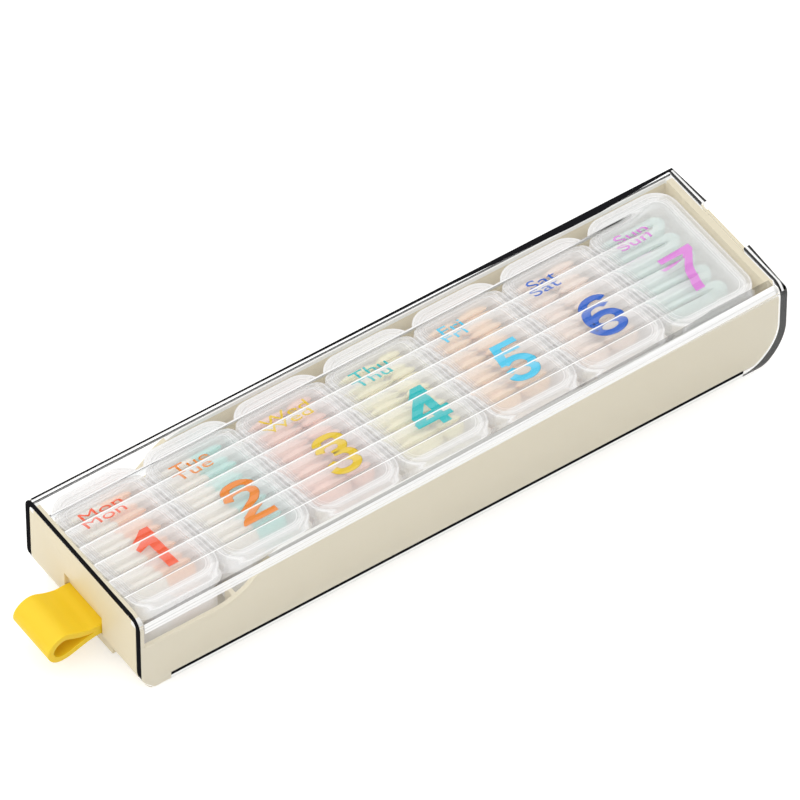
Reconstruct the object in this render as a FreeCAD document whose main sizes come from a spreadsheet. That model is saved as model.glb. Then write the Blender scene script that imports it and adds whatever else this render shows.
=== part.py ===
import FreeCAD, Part
import os
import re

# Weekly pill drawer organizer: a clear fluted sleeve with one drawer that holds seven lidded cups.
# X runs along the sleeve towards its closed end, +Z is up, and the origin is the centre of the base.

os.makedirs("parts", exist_ok=True)
doc = FreeCAD.newDocument("pill_drawer_organizer")
Vector = FreeCAD.Vector

# ---------------------------------------------------------------- driving dimensions, millimetres
SIZES = (
    ("sleeve_wall", 2.0), ("sleeve_roof", 2.6), ("sleeve_edge", 4.6),
    ("heel_radius", 18.5), ("toe_radius", 12.5), ("crest_radius", 2.5), ("bore_edge", 2.0), ("bore_crest", 0.6),
    ("flute_pitch", 8.0), ("flute_depth", 1.35), ("ridge_drop", 0.06),
    ("flute_collar", 1.5), ("flute_stop", 10.0), ("flute_fade", 6.0),
    ("notch_width", 22.4), ("notch_height", 13.8),
    ("running_gap", 0.35), ("roof_gap", 0.5), ("base_gap", 0.3),
    ("tray_wall", 1.5), ("tray_floor", 1.6), ("panel_thickness", 2.4), ("tray_end", 2.2),
    ("tray_edge", 2.2), ("rim_edge", 1.4), ("cavity_toe", 6.0), ("foot_edge", 2.6),
    ("scoop_depth", 11.3), ("scoop_length", 26.0), ("scoop_ramp", 28.0),
    ("rib_thickness", 1.2), ("rib_reach", 4.2), ("rib_drop", 7.0), ("rib_slope", 1.7),
    ("recess_width", 20.4), ("recess_height", 9.3), ("recess_sill", 10.3), ("recess_depth", 1.4),
    ("backing_thickness", 0.8), ("backing_width", 27.0), ("backing_top", 22.0),
    ("tab_width", 20.8), ("tab_gap", 0.4), ("tab_inset", 0.2),
    ("cup_length", 30.0), ("cup_width", 50.4), ("cup_height", 26.85), ("cup_wall", 1.1),
    ("bend_ease", 1.95), ("rim_drop", 2.1),
    ("lid_plate", 1.3), ("lid_corner", 8.0), ("lid_skirt", 3.2), ("skirt_wall", 0.95), ("skirt_gap", 0.25),
    ("lid_front_gap", 0.75), ("lid_gap", 0.65), ("lid_rear_gap", 1.6), ("lid_side_gap", 0.75),
    ("bead_inset", 1.1), ("bead_width", 1.3), ("bead_height", 0.45),
    ("plug_gap", 0.2), ("plug_wall", 1.0), ("plug_depth", 1.6),
    ("thumb_width", 7.6), ("thumb_reach", 0.5), ("thumb_height", 1.6),
    ("strap_width", 19.2), ("strap_thickness", 2.1), ("strap_reach", 19.2),
    ("strap_height", 12.85), ("strap_loop", 10.6), ("slit_gap", 0.1),
    ("flange_width", 24.0), ("flange_height", 6.2), ("flange_thickness", 0.8),
    ("pill_headroom", 5.4), ("near_space", 9.6), ("far_space", 6.2), ("end_space", 2.65), ("row_gap", 0.3),
    ("overrun", 1.0),
)
DAYS = ("mon", "tue", "wed", "thu", "fri", "sat", "sun")

FLUTE_COUNT = 5
ROW_COUNT = 5          # rows of pills across a cup
LAYER_COUNT = 3        # layers of pills in a cup

# Places, fits and outer sizes that follow from the driving dimensions.
PLACES = (
    ("lid_length", "cup_length + 2 * (skirt_wall + skirt_gap)"),
    ("lid_width", "cup_width + 2 * (skirt_wall + skirt_gap)"),
    ("cup_pitch", "lid_length + lid_gap"),
    ("row_of_cups", f"{len(DAYS)} * cup_pitch - lid_gap"),
    ("sleeve_length", "panel_thickness + lid_front_gap + row_of_cups + lid_rear_gap"
                      " + tray_end + running_gap + sleeve_wall"),
    ("sleeve_width", "lid_width + 2 * (lid_side_gap + tray_wall + running_gap + sleeve_wall)"),
    ("sleeve_height", "sleeve_wall + running_gap + tray_floor + cup_height + rim_drop + roof_gap + sleeve_roof"),
    ("cup_bend", "heel_radius - sleeve_wall - running_gap - tray_end - bend_ease"),
    ("front", "-sleeve_length / 2"),
    ("back", "sleeve_length / 2"),
    ("side", "sleeve_width / 2"),
    ("inner_side", "sleeve_width / 2 - sleeve_wall"),
    ("roof_under", "sleeve_height - sleeve_roof"),
    ("flute_radius", "((flute_pitch / 2) ^ 2 + flute_depth ^ 2) / (2 * flute_depth)"),
    ("tray_side", "sleeve_width / 2 - sleeve_wall - running_gap"),
    ("tray_back", "sleeve_length / 2 - sleeve_wall - running_gap"),
    ("tray_base", "sleeve_wall + running_gap"),
    ("tray_rim", "sleeve_height - sleeve_roof - roof_gap"),
    ("tray_heel", "heel_radius - sleeve_wall - running_gap"),
    ("foot_back", "toe_radius - sleeve_length / 2 - running_gap"),
    ("floor_top", "sleeve_wall + running_gap + tray_floor"),
    ("panel_back", "panel_thickness - sleeve_length / 2"),
    ("backing_back", "panel_thickness + backing_thickness - sleeve_length / 2"),
    ("cup_rim", "sleeve_height - sleeve_roof - roof_gap - rim_drop"),
    ("cup_corner", "lid_corner - (lid_length - cup_length) / 2"),
    ("first_cup", "panel_thickness - sleeve_length / 2 + lid_front_gap + lid_length / 2"),
    ("first_row", "cup_wall + near_space - cup_width / 2"),
    ("row_pitch", f"(cup_width - 2 * cup_wall - near_space - far_space) / {ROW_COUNT - 1}"),
    ("pill_width", "row_pitch - row_gap"),
    ("pill_length", "cup_length - 2 * (cup_wall + end_space)"),
    ("top_layer", "cup_rim - pill_headroom"),
)

# The pull strap's outline from the panel round to the panel again, seen from the side:
# how far out of the panel as a share of its reach, and how far above its middle as a share of its loop.
STRAP_OUTLINE = (
    (0.070, 0.205), (0.190, 0.200), (0.330, 0.262), (0.445, 0.340), (0.560, 0.440), (0.690, 0.492),
    (0.835, 0.415), (0.960, 0.200), (1.000, -0.035), (0.950, -0.300), (0.835, -0.470), (0.690, -0.500),
    (0.540, -0.445), (0.390, -0.350), (0.220, -0.255), (0.070, -0.205),
)
STRAP_PINCH = 0.12     # where the two plies of the strap part, as a share of its reach

# What each cup holds, by columns along the cup. A column gives its middle and its length as shares of a
# whole pill's length, its width and thickness as shares of the row pitch, its offset across the cup as a
# share of the row pitch, and its lean in degrees. No columns: capsules as long as a whole pill.
CAPSULES = ()
OVALS = ((-0.187, 0.640, 1.05, 0.70, 0.0, 29.0), (0.340, 0.390, 1.05, 0.70, 0.18, 29.0))
LONG_OVALS = ((-0.170, 0.670, 1.05, 0.70, 0.0, 29.0), (0.346, 0.380, 1.05, 0.70, 0.18, 29.0))
ROUNDS = ((-0.255, 0.490, 1.05, 0.70, 0.0, 29.0), (0.262, 0.505, 1.05, 0.70, 0.18, 29.0))
FILLINGS = {
    "mon": CAPSULES, "tue": CAPSULES, "wed": OVALS, "thu": LONG_OVALS, "fri": ROUNDS, "sat": ROUNDS,
    "sun": CAPSULES,
}
LAYER_SHARE = 0.865    # from one layer of pills to the next, as a share of the row pitch
CAPSULE_END = 0.55     # bevel of a capsule's ends, as a share of its radius
TABLET_EDGE = 0.30     # bevel of a tablet's edges, as a share of its thickness


def make_sheet(name, rows):
    """A spreadsheet with one alias a row."""
    sheet = doc.addObject("Spreadsheet::Sheet", name)
    for row, (alias, text) in enumerate(rows, start=1):
        sheet.set(f"A{row}", alias)
        sheet.set(f"B{row}", text)
        sheet.setAlias(f"B{row}", alias)
    return sheet


def named(text, own=""):
    """An expression with its sheet written in front of every alias of another sheet."""
    def in_full(word):
        alias = word.group()
        sheet = SHEET_OF[alias]
        return alias if sheet == own else f"{sheet}.{alias}"
    return re.sub("[a-z_]+", in_full, text)


SHEET_OF = {alias: "sizes" for alias, _ in SIZES}
SHEET_OF.update({alias: "places" for alias, _ in PLACES})
sizes = make_sheet("sizes", [(alias, str(number)) for alias, number in SIZES])
places = make_sheet("places", [(alias, "=" + named(text, "places")) for alias, text in PLACES])
doc.recompute()


def size(alias):
    """The number in a named cell."""
    return float(getattr(doc.getObject(SHEET_OF[alias]), alias))


# ---------------------------------------------------------------- building blocks
def bind(item, prop, text):
    """Tie a property to the sheets."""
    item.setExpression(prop, named(text))


def block(name, x, y, z):
    """A box between two planes on each axis."""
    item = doc.addObject("Part::Box", name)
    for axis, side, (low, high) in zip("xyz", ("Length", "Width", "Height"), (x, y, z)):
        bind(item, side, f"({high}) - ({low})")
        bind(item, f"Placement.Base.{axis}", low)
    return item


def both_sides(half):
    """The span from minus a half width to plus a half width."""
    return (f"-({half})", half)


def rounded(name, base, *rules):
    """Round a block's edges. A rule gives the edges' axis, the sides they lie on and a radius."""
    doc.recompute()
    middle = base.Shape.BoundBox.Center
    picked = []
    for number, edge in enumerate(base.Shape.Edges, start=1):
        run = edge.Vertexes[-1].Point - edge.Vertexes[0].Point
        place = edge.CenterOfMass - middle
        for axis, sides, radius in rules:
            along = abs(run[axis]) > 0.99 * run.Length
            if along and all(place[other] * sign > 0 for other, sign in sides.items()):
                picked.append((number, radius, radius))
    item = doc.addObject("Part::Fillet", name)
    item.Base = base
    item.Edges = picked
    return item


def cut(name, base, tool):
    """What is left of one body when another is taken away."""
    item = doc.addObject("Part::Cut", name)
    item.Base = base
    item.Tool = tool
    return item


def common(name, first, second):
    """What two bodies share."""
    item = doc.addObject("Part::Common", name)
    item.Base = first
    item.Tool = second
    return item


def fuse(name, *shapes):
    """Several bodies joined into one."""
    item = doc.addObject("Part::MultiFuse", name)
    item.Shapes = list(shapes)
    item.Refine = True
    return item


def pad(name, centre, length, width, corner, z):
    """An upright prism with four rounded corners, centred on the middle plane."""
    x = (f"{centre} - ({length}) / 2", f"{centre} + ({length}) / 2")
    base = block(f"{name}_block", x, both_sides(f"({width}) / 2"), z)
    return rounded(name, base, (Z, {}, corner))


def ring(name, centre, length, width, corner, wall, z):
    """An upright rounded frame of one wall thickness."""
    outer = pad(f"{name}_outer", centre, length, width, corner, z)
    inner_z = (f"{z[0]} - overrun", f"{z[1]} + overrun")
    inner = pad(f"{name}_inner", centre, f"{length} - 2 * {wall}", f"{width} - 2 * {wall}",
                corner - size(wall), inner_z)
    return cut(name, outer, inner)


X, Y, Z = range(3)
OVER_FRONT = "front - overrun"
OVER_BACK = "back + overrun"
OVER_TOP = "sleeve_height + overrun"


# ---------------------------------------------------------------- sleeve
def make_sleeve():
    """The clear sleeve: open at the front, rounded at heel and toe, fluted along its top."""
    full = (both_sides("back"), both_sides("side"), ("0", "sleeve_height"))
    section = rounded("sleeve_section", block("sleeve_section_block", *full),
                      (X, {}, size("sleeve_edge")))
    profile = rounded("sleeve_profile", block("sleeve_profile_block", *full),
                      (Y, {X: 1, Z: -1}, size("heel_radius")),
                      (Y, {X: -1, Z: -1}, size("toe_radius")),
                      (Y, {X: 1, Z: 1}, size("crest_radius")))
    body = common("sleeve_body", section, profile)

    inside = ((OVER_FRONT, "back - sleeve_wall"), both_sides("inner_side"), ("sleeve_wall", "roof_under"))
    bore_section = rounded("bore_section", block("bore_section_block", *inside),
                           (X, {Z: -1}, size("sleeve_edge") - size("sleeve_wall")),
                           (X, {Z: 1}, size("bore_edge")))
    bore_profile = rounded("bore_profile", block("bore_profile_block", *inside),
                           (Y, {X: 1, Z: -1}, size("heel_radius") - size("sleeve_wall")),
                           (Y, {X: 1, Z: 1}, size("bore_crest")))
    shell = cut("sleeve_shell", body, common("sleeve_bore", bore_section, bore_profile))

    toe_opening = block("toe_opening", (OVER_FRONT, "foot_back + running_gap"),
                        both_sides("inner_side"), ("-overrun", "sleeve_edge"))
    shell = cut("sleeve_toe_cut", shell, toe_opening)
    notch = block("notch", ("back - sleeve_wall - running_gap", OVER_BACK),
                  both_sides("notch_width / 2"), ("sleeve_height - notch_height", OVER_TOP))
    shell = cut("sleeve_notched", shell, notch)

    for index in range(FLUTE_COUNT):
        name = "sleeve" if index == FLUTE_COUNT - 1 else f"sleeve_fluted_{index}"
        shell = cut(name, shell, make_flute(index))
    return shell


def make_flute(index):
    """A long round cutter that leaves one flute and fades out towards the closed end."""
    step = index - (FLUTE_COUNT - 1) / 2
    run = doc.addObject("Part::Cylinder", f"flute_run_{index}")
    bind(run, "Radius", "flute_radius")
    bind(run, "Height", "sleeve_length - flute_collar - flute_stop")
    fade = doc.addObject("Part::Cone", f"flute_fade_{index}")
    bind(fade, "Radius1", "flute_radius")
    bind(fade, "Radius2", "flute_radius - flute_depth - ridge_drop")
    bind(fade, "Height", "flute_fade")
    starts = ("front + flute_collar", "back - flute_stop")
    for item, start in zip((run, fade), starts):
        item.Placement.Rotation = FreeCAD.Rotation(Vector(0, 1, 0), 90)
        bind(item, "Placement.Base.x", start)
        bind(item, "Placement.Base.y", f"flute_pitch * {step}")
        bind(item, "Placement.Base.z", "sleeve_height + flute_radius - flute_depth - ridge_drop")
    return fuse(f"flute_{index}", run, fade)


# ---------------------------------------------------------------- drawer tray
def make_tray():
    """The cream drawer: a trough with a thick front panel, a foot, scooped sides and a push tab."""
    length = ("front", "tray_back")
    trough_block = (length, both_sides("tray_side"), ("tray_base", "tray_rim"))
    section = rounded("trough_section", block("trough_section_block", *trough_block),
                      (X, {Z: -1}, size("tray_edge")),
                      (X, {Z: 1}, size("rim_edge")))
    foot = block("foot_block", ("front", "foot_back"), both_sides("tray_side"), ("base_gap", "recess_sill"))
    outside = fuse("tray_outside", section, rounded("foot", foot, (X, {Z: -1}, size("foot_edge"))))
    profile = rounded("tray_profile",
                      block("tray_profile_block", length, both_sides("side"), ("base_gap", "tray_rim")),
                      (Y, {X: -1, Z: -1}, size("toe_radius") - size("base_gap")))
    heel = rounded("tray_heel_profile",
                   block("tray_heel_block", (OVER_FRONT, "tray_back"), both_sides("side"),
                         ("tray_base", OVER_TOP)),
                   (Y, {X: 1, Z: -1}, size("tray_heel")))
    toe_keep = block("toe_keep", (OVER_FRONT, "foot_back"), both_sides("side"), ("0", OVER_TOP))
    body = common("tray_body", common("tray_toe_body", outside, profile),
                  fuse("tray_heel_keep", heel, toe_keep))

    hollow_block = block("hollow_block", ("panel_back", "tray_back - tray_end"),
                         both_sides("tray_side - tray_wall"), ("floor_top", OVER_TOP))
    hollow = rounded("hollow", hollow_block,
                     (Y, {X: -1, Z: -1}, size("cavity_toe")),
                     (Y, {X: 1, Z: -1}, size("tray_heel") - size("tray_end")))
    body = cut("tray_hollowed", body, hollow)

    backing = block("backing", ("panel_back - overrun", "backing_back"),
                    both_sides("backing_width / 2"), ("floor_top", "backing_top"))
    tab = block("push_tab", ("tray_back - overrun", "back - tab_inset"), both_sides("tab_width / 2"),
                ("sleeve_height - notch_height + tab_gap", "tray_rim"))
    ribs = [make_rib(index, turn) for index in range(len(DAYS) - 1) for turn in (0, 180)]
    body = fuse("tray_ribbed", body, backing, tab, *ribs)

    body = cut("tray_scooped", body, make_scoop())
    recess = block("recess", (OVER_FRONT, "front + recess_depth"), both_sides("recess_width / 2"),
                   ("recess_sill", "recess_sill + recess_height"))
    body = cut("tray_recessed", body, recess)
    slit = block("slit", (OVER_FRONT, "backing_back + overrun"),
                 both_sides("strap_width / 2 + slit_gap"),
                 ("strap_height - strap_thickness - slit_gap", "strap_height + strap_thickness + slit_gap"))
    return cut("drawer_tray", body, slit)


def make_rib(index, turn):
    """A thin fin on the tray's side wall between two cups, its top falling away from the wall."""
    item = doc.addObject("Part::Wedge", f"rib_{index}_{turn}")
    bind(item, "Xmin", "-rib_thickness / 2")
    bind(item, "Xmax", "rib_thickness / 2")
    bind(item, "X2min", "-rib_thickness / 2")
    bind(item, "X2max", "rib_thickness / 2")
    bind(item, "Ymin", "0")
    bind(item, "Ymax", "rib_reach + tray_wall / 2")
    bind(item, "Zmin", "0")
    bind(item, "Z2min", "0")
    bind(item, "Zmax", "tray_rim - rib_drop - floor_top + tray_floor / 2")
    bind(item, "Z2max", "tray_rim - rib_drop - rib_slope - floor_top + tray_floor / 2")
    sign = "-" if turn == 0 else ""
    item.Placement.Rotation = FreeCAD.Rotation(Vector(0, 0, 1), turn)
    bind(item, "Placement.Base.x", f"first_cup + cup_pitch * ({index} + 0.5)")
    bind(item, "Placement.Base.y", f"{sign}(tray_side - tray_wall / 2)")
    bind(item, "Placement.Base.z", "floor_top - tray_floor / 2")
    return item


def make_scoop():
    """The cutter for the low front stretch of both side walls, which ends in an S-shaped ramp."""
    low = size("tray_rim") - size("scoop_depth")
    top = size("tray_rim")
    start = size("panel_back")
    turn_in = start + size("scoop_length")
    turn_out = turn_in + size("scoop_ramp")
    radius = (size("scoop_ramp") ** 2 + size("scoop_depth") ** 2) / (4 * size("scoop_depth"))
    middle = Vector((turn_in + turn_out) / 2, 0, (low + top) / 2)
    hollow_centre = Vector(turn_in, 0, low + radius)
    crown_centre = Vector(turn_out, 0, top - radius)
    towards = (middle - hollow_centre).normalize()
    hollow_bisector = (Vector(0, 0, -1) + towards).normalize()
    hollow_mid = hollow_centre + hollow_bisector * radius
    crown_mid = crown_centre - hollow_bisector * radius
    above = top + size("overrun")
    points = {"floor": Vector(turn_in, 0, low), "rim": Vector(turn_out, 0, top)}
    outline = [
        Part.LineSegment(Vector(start, 0, above), Vector(start, 0, low)),
        Part.LineSegment(Vector(start, 0, low), points["floor"]),
        Part.Arc(points["floor"], hollow_mid, middle),
        Part.Arc(middle, crown_mid, points["rim"]),
        Part.LineSegment(points["rim"], Vector(turn_out, 0, above)),
        Part.LineSegment(Vector(turn_out, 0, above), Vector(start, 0, above)),
    ]
    wire = Part.Wire([curve.toShape() for curve in outline])
    item = doc.addObject("Part::Feature", "scoop")
    item.Shape = Part.Face(wire).extrude(Vector(0, size("sleeve_width"), 0))
    item.Placement.Base = Vector(0, -size("side"), 0)
    return item


# ---------------------------------------------------------------- pull strap
def make_strap():
    """The soft strap: a loop in front of the panel, and a flange behind it that keeps it in."""
    reach = size("strap_reach")
    middle = size("strap_height")
    thickness = size("strap_thickness")
    front = size("front")
    root = size("backing_back")
    outline = [Vector(front - reach * out, 0, middle + size("strap_loop") * up)
               for out, up in STRAP_OUTLINE]
    upper = Vector(front, 0, middle + thickness)
    lower = Vector(front, 0, middle - thickness)
    skin = Part.BSplineCurve()
    skin.interpolate([upper] + outline + [lower])
    edges = [
        skin.toShape(),
        Part.makeLine(lower, Vector(root, 0, lower.z)),
        Part.makeLine(Vector(root, 0, lower.z), Vector(root, 0, upper.z)),
        Part.makeLine(Vector(root, 0, upper.z), upper),
    ]
    pinch = Vector(front - reach * STRAP_PINCH, 0, middle)
    lining = []
    for point in outline:
        parameter = skin.parameter(point)
        along = Vector(*skin.tangent(parameter)[0])
        inward = along.cross(Vector(0, 1, 0)).normalize()
        inner = point + inward * thickness
        if inner.x < pinch.x - thickness:
            lining.append(inner)
    hole = Part.BSplineCurve()
    hole.interpolate([pinch] + lining, PeriodicFlag=True)
    width = Vector(0, size("strap_width"), 0)
    solid = Part.Face(Part.Wire(edges)).extrude(width)
    solid = solid.cut(Part.Face(Part.Wire([hole.toShape()])).extrude(width))
    loop = doc.addObject("Part::Feature", "strap_loop_body")
    loop.Shape = solid
    loop.Placement.Base = Vector(0, -size("strap_width") / 2, 0)
    flange = block("strap_flange", ("backing_back", "backing_back + flange_thickness"),
                   both_sides("flange_width / 2"),
                   ("strap_height - strap_thickness - slit_gap", "strap_height - strap_thickness - slit_gap"
                    " + flange_height"))
    return fuse("pull_strap", loop, flange)


# ---------------------------------------------------------------- cups and lids
def make_cup(index, day):
    """One cup: round corners in plan, and a deep bend along both ends of its bottom."""
    centre = f"(first_cup + cup_pitch * {index})"
    name = f"cup_{day}"
    corner = size("cup_corner")
    bend = size("cup_bend")
    wall = size("cup_wall")
    upright = pad(f"{name}_plan", centre, "cup_length", "cup_width", corner, ("floor_top", "cup_rim"))
    trough = rounded(f"{name}_profile",
                     block(f"{name}_profile_block",
                           (f"{centre} - cup_length / 2", f"{centre} + cup_length / 2"),
                           both_sides("cup_width / 2"), ("floor_top", "cup_rim")),
                     (Y, {Z: -1}, bend))
    body = common(f"{name}_body", upright, trough)
    inner_z = ("floor_top + cup_wall", "cup_rim + overrun")
    inner_plan = pad(f"{name}_inner_plan", centre, "cup_length - 2 * cup_wall",
                     "cup_width - 2 * cup_wall", corner - wall, inner_z)
    inner_x = (f"{centre} - cup_length / 2 + cup_wall", f"{centre} + cup_length / 2 - cup_wall")
    inner_trough = rounded(f"{name}_inner_profile",
                           block(f"{name}_inner_block", inner_x, both_sides("cup_width / 2"), inner_z),
                           (Y, {Z: -1}, bend - wall))
    return cut(name, body, common(f"{name}_hollow", inner_plan, inner_trough))


def make_lid(index, day):
    """One lid: a plate with a raised bead, a skirt outside the cup, a plug inside it and a thumb tab."""
    centre = f"(first_cup + cup_pitch * {index})"
    name = f"lid_{day}"
    corner = size("lid_corner")
    inset = size("bead_inset")
    plate = pad(f"{name}_plate", centre, "lid_length", "lid_width", corner, ("cup_rim", "cup_rim + lid_plate"))
    skirt = ring(f"{name}_skirt", centre, "lid_length", "lid_width", corner, "skirt_wall",
                 ("cup_rim - lid_skirt", "cup_rim"))
    bead = ring(f"{name}_bead", centre, "lid_length - 2 * bead_inset", "lid_width - 2 * bead_inset",
                corner - inset, "bead_width", ("cup_rim + lid_plate", "cup_rim + lid_plate + bead_height"))
    fit = "2 * (cup_wall + plug_gap)"
    plug = ring(f"{name}_plug", centre, f"cup_length - {fit}", f"cup_width - {fit}",
                size("cup_corner") - size("cup_wall") - size("plug_gap"), "plug_wall",
                ("cup_rim - plug_depth", "cup_rim"))
    thumb = block(f"{name}_thumb", (f"{centre} - thumb_width / 2", f"{centre} + thumb_width / 2"),
                  ("-lid_width / 2 - thumb_reach", "-lid_width / 2 + skirt_wall / 2"),
                  ("cup_rim - thumb_height", "cup_rim"))
    return fuse(name, plate, skirt, bead, plug, thumb)


# ---------------------------------------------------------------- pills
def bevelled(name, base, width):
    """A round body with its rims bevelled."""
    doc.recompute()
    rims = [number for number, edge in enumerate(base.Shape.Edges, start=1)
            if not isinstance(edge.Curve, Part.Line)]
    item = doc.addObject("Part::Chamfer", name)
    item.Base = base
    item.Edges = [(number, width, width) for number in rims]
    return item


def make_capsule(name, centre, y, z):
    """One capsule along the cup."""
    barrel = doc.addObject("Part::Cylinder", f"{name}_barrel")
    bind(barrel, "Radius", "pill_width / 2")
    bind(barrel, "Height", "pill_length")
    barrel.Placement.Rotation = FreeCAD.Rotation(Vector(0, 1, 0), 90)
    bind(barrel, "Placement.Base.x", f"{centre} - pill_length / 2")
    bind(barrel, "Placement.Base.y", y)
    bind(barrel, "Placement.Base.z", z)
    return bevelled(f"{name}_capsule", barrel, size("pill_width") / 2 * CAPSULE_END)


def make_tablet(name, column, centre, y, z):
    """One tablet: an oval prism with bevelled rims, leaning on the next one."""
    middle, length, width, thickness, aside, lean = column
    oval = doc.addObject("Part::Ellipse", f"{name}_oval")
    bind(oval, "MajorRadius", f"pill_length * {length} / 2")
    bind(oval, "MinorRadius", f"row_pitch * {width} / 2")
    oval.Placement.Rotation = FreeCAD.Rotation(Vector(1, 0, 0), lean)
    bind(oval, "Placement.Base.x", f"{centre} + pill_length * ({middle})")
    bind(oval, "Placement.Base.y", f"{y} + row_pitch * {aside}")
    bind(oval, "Placement.Base.z", z)
    slab = doc.addObject("Part::Extrusion", f"{name}_slab")
    slab.Base = oval
    slab.DirMode = "Normal"
    slab.Solid = True
    slab.Symmetric = True
    bind(slab, "LengthFwd", f"row_pitch * {thickness}")
    return bevelled(f"{name}_tablet", slab, size("row_pitch") * thickness * TABLET_EDGE)


def make_pills(index, day):
    """One cup's pills: full layers of rows, with every second layer in the hollows between rows."""
    centre = f"(first_cup + cup_pitch * {index})"
    pills = []
    for layer in range(LAYER_COUNT):
        offset = layer % 2
        for row in range(ROW_COUNT - offset):
            name = f"pill_{day}_{layer}_{row}"
            y = f"first_row + row_pitch * {row + offset / 2}"
            z = f"top_layer - row_pitch * {LAYER_SHARE * layer}"
            for number, column in enumerate(FILLINGS[day]):
                pills.append(make_tablet(f"{name}_{number}", column, centre, y, z))
            if not FILLINGS[day]:
                pills.append(make_capsule(name, centre, y, z))
    group = doc.addObject("Part::Compound", f"pills_{day}")
    group.Links = pills
    return group


# ---------------------------------------------------------------- assembly, checks and export
def main():
    """Build every sub-part, check it and write it to its own file."""
    parts = [make_sleeve(), make_tray(), make_strap()]
    for index, day in enumerate(DAYS):
        parts.append(make_cup(index, day))
        parts.append(make_lid(index, day))
        parts.append(make_pills(index, day))
    doc.recompute()
    for item in doc.Objects:
        faults = [state for state in item.State if state in ("Invalid", "Error")]
        if faults:
            raise RuntimeError(f"{item.Name} did not build: {faults}")
    for item in parts:
        shape = item.Shape
        if shape.isNull() or not shape.isValid() or not shape.Solids:
            raise RuntimeError(f"{item.Name} has no valid solid")
    for item in parts:
        item.Label = item.Name
        item.Shape.exportStep(f"parts/{item.Label}.step")
        box = item.Shape.BoundBox
        print(item.Label, len(item.Shape.Solids), round(item.Shape.Volume, 1),
              [round(number, 2) for number in (box.XMin, box.XMax, box.YMin, box.YMax, box.ZMin, box.ZMax)])


main()
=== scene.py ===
import math

import bmesh
import bpy
from bpy.props import FloatProperty, FloatVectorProperty, PointerProperty
from mathutils import Matrix, Vector


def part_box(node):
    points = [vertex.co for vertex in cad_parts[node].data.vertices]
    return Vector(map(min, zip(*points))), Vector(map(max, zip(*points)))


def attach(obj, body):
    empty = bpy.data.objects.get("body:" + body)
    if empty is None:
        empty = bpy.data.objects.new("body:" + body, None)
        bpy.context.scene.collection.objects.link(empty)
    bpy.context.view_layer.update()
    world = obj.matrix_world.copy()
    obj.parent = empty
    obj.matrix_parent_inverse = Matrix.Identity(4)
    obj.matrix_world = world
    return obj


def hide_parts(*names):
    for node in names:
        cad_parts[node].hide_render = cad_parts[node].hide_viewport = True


bl_info = {
    "name": "Weekly Pill Drawer Organizer",
    "version": (1, 0, 0),
    "blender": (4, 5, 0),
    "location": "3D View > Sidebar > Organizer",
    "description": "Dresses the pill organizer: clear sleeve, cream drawer, cups, lids, marks and pills",
    "category": "Object",
}

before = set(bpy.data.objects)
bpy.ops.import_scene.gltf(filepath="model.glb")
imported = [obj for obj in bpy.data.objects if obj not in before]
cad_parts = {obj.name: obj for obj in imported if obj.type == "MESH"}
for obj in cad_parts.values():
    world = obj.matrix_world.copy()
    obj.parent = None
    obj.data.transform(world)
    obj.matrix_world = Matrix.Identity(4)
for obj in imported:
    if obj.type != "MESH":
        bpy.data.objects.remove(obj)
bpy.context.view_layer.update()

MM = 0.001
DAYS = ("mon", "tue", "wed", "thu", "fri", "sat", "sun")


# ---------------------------------------------------------------- what a user would change
def length(name, description, default):
    """A length in metres that a user can change."""
    return FloatProperty(name=name, description=description, default=default, unit="LENGTH", precision=5)


def colour(name, description, default):
    """A colour that a user can change, as linear red, green and blue."""
    return FloatVectorProperty(name=name, description=description, default=default, subtype="COLOR",
                               size=3, min=0.0, max=1.0)


class OrganizerSizes(bpy.types.PropertyGroup):
    """Sizes of the finish and of what the cups hold."""
    tray_round: length("Tray edge", "Rounding of the tray's edges", 0.30 * MM)
    cup_round: length("Cup edge", "Rounding of the cups' and lids' edges", 0.22 * MM)
    strap_round: length("Strap edge", "Rounding of the strap's edges", 0.45 * MM)
    numeral_height: length("Numeral height", "Height of the day's number on a lid", 17.5 * MM)
    word_height: length("Word height", "Height of a capital letter of the day's name", 5.9 * MM)
    ink: length("Ink", "Thickness of the printed marks", 0.06 * MM)
    capsule_length: length("Capsule length", "Length of a two-part capsule", 22.5 * MM)
    capsule_width: length("Capsule width", "Diameter of a capsule's cap", 7.8 * MM)
    tablet_width: length("Tablet width", "Width of a coated tablet", 8.5 * MM)
    tablet_height: length("Tablet thickness", "Thickness of a coated tablet", 5.67 * MM)
    row_pitch: length("Row pitch", "Distance between rows of pills", 8.1 * MM)
    layer_pitch: length("Layer pitch", "Distance between layers of pills", 7.0 * MM)


class OrganizerColours(bpy.types.PropertyGroup):
    """Colours of the pieces."""
    clear: colour("Clear plastic", "Tint of the sleeve", (0.985, 0.99, 0.99))
    # Painted dark reflection: the dark lines that the clear plastic's corners show edge on are painted in
    # this colour.
    dark_line: colour("Dark line", "What the clear plastic's corners show edge on", (0.012, 0.012, 0.014))
    cream: colour("Cream plastic", "Drawer tray", (0.81, 0.72, 0.515))
    # Painted highlight: the top of the tray's wall is painted in this paler colour where the light catches
    # it.
    cream_rim: colour("Cream rim", "Top of the tray's wall, where the light catches it", (0.95, 0.94, 0.90))
    yellow: colour("Yellow silicone", "Pull strap", (0.97, 0.655, 0.015))
    milky: colour("Milky plastic", "Cups and lids", (0.965, 0.955, 0.95))


# Marks: the colour of each day's name and number.
INK_COLOURS = {
    "mon": (1.00, 0.10, 0.02), "tue": (0.92, 0.25, 0.0), "wed": (0.88, 0.60, 0.0),
    "thu": (0.0, 0.55, 0.56), "fri": (0.06, 0.64, 0.93), "sat": (0.0, 0.115, 0.62),
    "sun": (0.80, 0.24, 0.76),
}
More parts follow.
